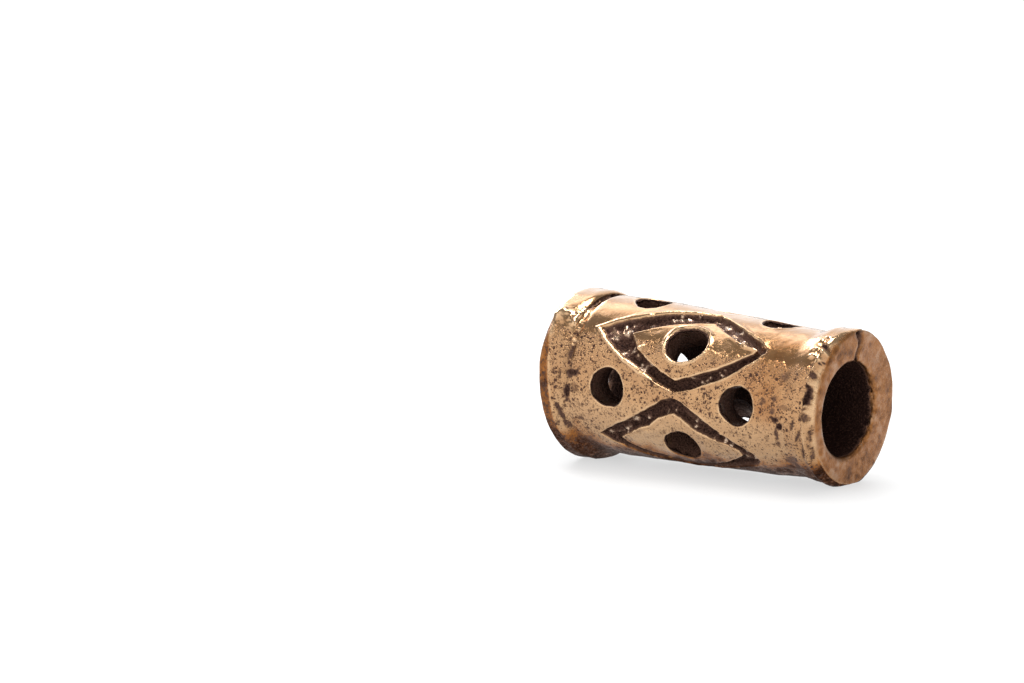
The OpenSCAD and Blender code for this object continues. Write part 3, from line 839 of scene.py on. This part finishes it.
def make_piece():
    mesh = bpy.data.meshes.new("bead_casting")
    mesh.vertices.add(len(POINTS))
    mesh.vertices.foreach_set("co", (POINTS * MM).astype(np.float32).ravel())
    mesh.loops.add(len(FACES) * 3)
    mesh.loops.foreach_set("vertex_index", FACES.astype(np.int32).ravel())
    mesh.polygons.add(len(FACES))
    mesh.polygons.foreach_set("loop_start", np.arange(0, len(FACES) * 3, 3, dtype=np.int32))
    mesh.polygons.foreach_set("loop_total", np.full(len(FACES), 3, np.int32))
    mesh.polygons.foreach_set("use_smooth", np.ones(len(FACES), bool))
    mesh.update(calc_edges=True)
    mesh.validate()
    for name, values in surface_values().items():
        attribute = mesh.attributes.new(name, "FLOAT", "POINT")
        attribute.data.foreach_set("value", np.asarray(values, np.float32))
    piece = bpy.data.objects.new("bead_casting", mesh)
    bpy.context.scene.collection.objects.link(piece)
    return piece


class Graph:
    """Short names for building a material's nodes."""

    def __init__(self, tree):
        self.tree = tree

    def node(self, kind, inputs=(), **settings):
        n = self.tree.nodes.new(kind)
        for key, value in settings.items():
            setattr(n, key, value)
        for key, value in dict(inputs).items():
            self.feed(n.inputs[key], value)
        return n

    def feed(self, socket, value):
        if isinstance(value, bpy.types.NodeSocket):
            self.tree.links.new(value, socket)
        else:
            socket.default_value = value

    def math(self, operation, a, b=0.0, clamp=False):
        return self.node("ShaderNodeMath", {0: a, 1: b}, operation=operation, use_clamp=clamp).outputs[0]

    def times(self, a, b, clamp=False):
        return self.math("MULTIPLY", a, b, clamp)

    def plus(self, a, b, clamp=False):
        return self.math("ADD", a, b, clamp)

    def minus(self, a, b, clamp=False):
        return self.math("SUBTRACT", a, b, clamp)

    def most(self, a, b, clamp=False):
        return self.math("MAXIMUM", a, b, clamp)

    def vector(self, operation, inputs):
        return self.node("ShaderNodeVectorMath", inputs, operation=operation).outputs

    def span(self, value, a, b, c=0.0, d=1.0):
        """A value brought from between a and b to between c and d."""
        ends = {"From Min": a, "From Max": b, "To Min": c, "To Max": d}
        return self.node("ShaderNodeMapRange", {"Value": value, **ends}).outputs[0]

    def noise(self, vector, scale, detail, rough=0.5):
        inputs = {"Vector": vector, "Scale": scale, "Detail": detail, "Roughness": rough}
        return self.node("ShaderNodeTexNoise", inputs)

    def spots(self, vector, scale, radius, sharp):
        """Round spots of the given radius, in cells of the pattern, each of its own size."""
        n = self.node("ShaderNodeTexVoronoi", {"Vector": vector, "Scale": scale})
        own = self.node("ShaderNodeSeparateColor", {"Color": n.outputs["Color"]}).outputs[0]
        reach = self.times(radius, self.span(own, 0.0, 1.0, 0.0, 1.3))
        return self.times(self.minus(reach, n.outputs["Distance"]), sharp, clamp=True)

    def attribute(self, name):
        return self.node("ShaderNodeAttribute", attribute_name=name).outputs["Fac"]

    def ramp(self, value, stops):
        n = self.node("ShaderNodeValToRGB", {"Fac": value})
        r = n.color_ramp
        while len(r.elements) < len(stops):
            r.elements.new(0.5)
        for e, (place_of, colour) in zip(r.elements, stops):
            e.position = place_of
            e.color = (*colour, 1)
        return n.outputs["Color"]

    def mix(self, factor, a, b, blend="MIX"):
        n = self.node("ShaderNodeMix", data_type="RGBA", blend_type=blend)
        for socket, value in ((0, factor), (6, a), (7, b)):
            self.feed(n.inputs[socket], value)
        return n.outputs[2]


def bronze():
    """Antiqued bronze: rubbed high places, dark pits, a brown film and black dirt in the hollows, with
    painted shade and sheen.
    """
    material = bpy.data.materials.new("antiqued_bronze")
    material.use_nodes = True
    material.node_tree.nodes.clear()
    g = Graph(material.node_tree)
    here = g.node("ShaderNodeTexCoord").outputs["Object"]
    place_mm = g.vector("SCALE", {0: here, "Scale": 1000.0})[0]
    dirt_and_shade, polish_and_sheen, matte = g.attribute("dirt_and_shade"), g.attribute("polish_and_sheen"), g.attribute("matte")
    specks, stain_and_shade, pale = g.attribute("specks"), g.attribute("stain_and_shade"), g.attribute("pale")
    cloudy = g.noise(place_mm, 0.55, 3, 0.6).outputs["Fac"]
    patchy = g.noise(place_mm, 1.7, 4, 0.6).outputs["Fac"]
    grain = g.noise(place_mm, 7.5, 3, 0.65).outputs["Fac"]
    off_middle = g.minus(grain, 0.5)
    # Fine dark pits of uneven outline, thicker where the surface was never rubbed
    amount = g.plus(specks, g.span(patchy, 0.35, 0.7, -0.3, 0.3))
    jitter = g.vector("SUBTRACT", {0: g.noise(place_mm, 9.0, 1).outputs["Color"], 1: (0.5, 0.5, 0.5)})[0]
    uneven = g.vector("ADD", {0: place_mm, 1: g.vector("SCALE", {0: jitter, "Scale": 0.16})[0]})[0]
    large_pits = g.spots(uneven, 4.3, g.span(amount, 0.2, 1.0, 0.05, 0.55), 6.0)
    small_pits = g.spots(uneven, 9.0, g.span(amount, 0.1, 1.0, 0.1, 0.72), 4.5)
    rubbed = g.minus(1.0, polish_and_sheen, clamp=True)
    pits = g.times(g.most(g.times(large_pits, 0.8), g.times(small_pits, 0.5)), rubbed)
    # Dirt that stays in the hollows, broken up at its edge, and a film of tarnish; both carry painted shade
    # too
    broken = g.times(g.times(off_middle, 0.9), g.span(dirt_and_shade, 0.0, 0.3))
    caked = g.plus(g.times(dirt_and_shade, g.span(dirt_and_shade, 0.3, 0.6, rubbed, 1.0)), broken, clamp=True)
    film_and_shade = g.times(stain_and_shade, g.span(patchy, 0.35, 0.65, 0.65, 1.15), clamp=True)
    film_and_shade = g.plus(film_and_shade, g.times(off_middle, g.times(stain_and_shade, 0.8)), clamp=True)
    dirty = g.most(caked, pits, clamp=True)
    tone = g.most(dirty, film_and_shade, clamp=True)
    crust = g.most(caked, film_and_shade, clamp=True)
    metal = g.mix(g.span(cloudy, 0.35, 0.65), (0.43, 0.232, 0.107, 1), (0.51, 0.29, 0.137, 1))
    metal = g.mix(g.times(g.span(patchy, 0.45, 0.75), 0.35), metal, (0.33, 0.16, 0.066, 1))
    # Rubbed places and the painted sheen low in front are lighter metal
    metal = g.mix(g.times(polish_and_sheen, 0.85), metal, (0.7, 0.46, 0.26, 1))
    metal = g.mix(pale, metal, (0.46, 0.38, 0.33, 1))
    # The film browns the metal, and where it is painted shade it darkens it; dirt in the hollows and the
    # painted shade at the wide mouth are nearly black
    browns = [(0.35, (0.72, 0.48, 0.25)), (0.7, (0.15, 0.075, 0.032)), (1.0, (0.035, 0.018, 0.01))]
    colour = g.mix(1.0, metal, g.ramp(film_and_shade, [(0.0, (1, 1, 1))] + browns), "MULTIPLY")
    colour = g.mix(g.span(dirty, 0.0, 0.6), colour, (0.1, 0.05, 0.034, 1))
    colour = g.mix(g.span(dirty, 0.75, 1.0), colour, (0.022, 0.01, 0.008, 1))
    rough = g.plus(g.span(grain, 0.3, 0.7, 0.08, 0.13), g.times(matte, 0.2))
    rough = g.minus(g.plus(rough, g.times(tone, 0.22)), g.times(polish_and_sheen, 0.04), clamp=True)
    # Fine relief: soft lumps and grain where the metal is matte, more in the hollows, and the pits
    soft = g.times(g.noise(place_mm, 3.2, 3, 0.6).outputs["Fac"], g.span(matte, 0.1, 0.7, 0.12, 0.7))
    fine = g.times(grain, g.span(matte, 0.1, 0.8, 0.04, 0.7))
    caked_on = g.times(g.noise(place_mm, 7.5, 1).outputs["Fac"], g.times(g.span(dirt_and_shade, 0.3, 0.8), 1.6))
    relief_height = g.minus(g.plus(g.plus(soft, fine), caked_on), g.times(pits, 0.6))
    bumps = g.node("ShaderNodeBump", {"Height": relief_height, "Strength": 1.0, "Distance": 0.00006})
    shader = g.node(
        "ShaderNodeBsdfPrincipled",
        {
            "Base Color": colour,
            "Metallic": g.span(crust, 0.35, 0.8, 1.0, 0.0),
            "Roughness": rough,
            "Specular IOR Level": g.span(crust, 0.3, 0.8, 0.5, 0.03),
            "Coat Weight": g.span(tone, 0.0, 0.5, 0.4, 0.0),
            "Coat Roughness": 0.12,
            "Normal": bumps.outputs["Normal"],
        },
    )
    g.node("ShaderNodeOutputMaterial", {"Surface": shader.outputs[0]})
    return material


def white_paper():
    """Pale paper that glows, and glows a little less close to the bead: a painted soft shadow."""
    material = bpy.data.materials.new("white_paper")
    material.use_nodes = True
    shader = material.node_tree.nodes["Principled BSDF"]
    shader.inputs["Base Color"].default_value = (0.12, 0.12, 0.12, 1)
    shader.inputs["Roughness"].default_value = 0.6
    shader.inputs["Emission Color"].default_value = (1, 1, 1, 1)
    g = Graph(material.node_tree)
    here = g.node("ShaderNodeTexCoord").outputs["Object"]
    away = g.vector("LENGTH", {0: here})["Value"]
    part = g.node("ShaderNodeSeparateXYZ", {0: here}).outputs
    beyond = g.most(g.minus(g.math("ABSOLUTE", part[0]), 0.0095), 0.0)
    beside = g.math("SQRT", g.plus(g.times(beyond, beyond), g.times(part[1], part[1])))
    # The glow is dimmer beside the bead as a painted soft shadow, and a little higher far off
    glow_and_painted_shadow = g.plus(g.span(beside, 0.0, 0.011, 0.6, 0.9), g.span(away, 0.01, 0.03, 0.0, 0.08))
    g.feed(shader.inputs["Emission Strength"], glow_and_painted_shadow)
    return material


def area_light(name, position, width, height, power):
    """A softbox that faces the bead; its place and size are in millimetres."""
    light = bpy.data.lights.new(name, "AREA")
    light.shape = "RECTANGLE"
    light.size, light.size_y = width * MM, height * MM
    light.energy = power
    o = bpy.data.objects.new(name, light)
    o.location = Vector(position) * MM
    o.rotation_euler = (-Vector(position)).to_track_quat("-Z", "Y").to_euler()
    bpy.context.scene.collection.objects.link(o)


def studio():
    scene = bpy.context.scene
    scene.view_settings.view_transform = "Standard"
    world = bpy.data.worlds.new("studio")
    scene.world = world
    world.use_nodes = True
    background = world.node_tree.nodes["Background"].inputs
    background["Color"].default_value = (1, 1, 1, 1)
    background["Strength"].default_value = 0.38
    # The floor touches the two flats on which the bead lies
    mesh = bpy.data.meshes.new("floor")
    far = 3000
    corners = [(-far, -far), (far, -far), (far, far), (-far, far)]
    corners = [(x * MM, y * MM, (REST_Z + (x - REST_X) * REST_SLOPE) * MM) for x, y in corners]
    mesh.from_pydata(corners, [], [(0, 1, 2, 3)])
    mesh.materials.append(white_paper())
    floor = bpy.data.objects.new("floor", mesh)
    scene.collection.objects.link(floor)
    area_light("wall_behind", (-143, 187, 122), 370, 230, 0.295)
    area_light("softbox_left", (-182, 102, 96), 80, 80, 0.16)
    area_light("softbox_top", (-130, 86, 176), 100, 75, 0.036)
    area_light("softbox_above", (-19, 24, 225), 112, 112, 0.45)
    area_light("softbox_front", (-76, -210, 100), 420, 275, 0.34)
    area_light("softbox_right", (190, -45, 110), 180, 200, 0.1)


# The photograph's viewpoint: where the camera stands in millimetres, its right and back directions, its lens
CAMERA_AT = (125.533, -190.223, 42.143)
RIGHT = (0.79964, 0.6, 0.024)
BACK = (0.58813, -0.7906, 0.17082)
LENS, SENSOR = 126.5625, 36


def camera():
    data = bpy.data.cameras.new("camera")
    data.sensor_width, data.lens = SENSOR, LENS
    data.clip_start, data.clip_end = 0.01, 10
    o = bpy.data.objects.new("camera", data)
    back, right = Vector(BACK).normalized(), Vector(RIGHT).normalized()
    up = back.cross(right).normalized()
    facing = Matrix((right, up, back)).transposed().to_4x4()
    o.matrix_world = Matrix.Translation(Vector(CAMERA_AT) * MM) @ facing
    bpy.context.scene.collection.objects.link(o)
    bpy.context.scene.camera = o


bead = make_piece()
bead.data.materials.append(bronze())
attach(bead, "root")
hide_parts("bead")
studio()
camera()
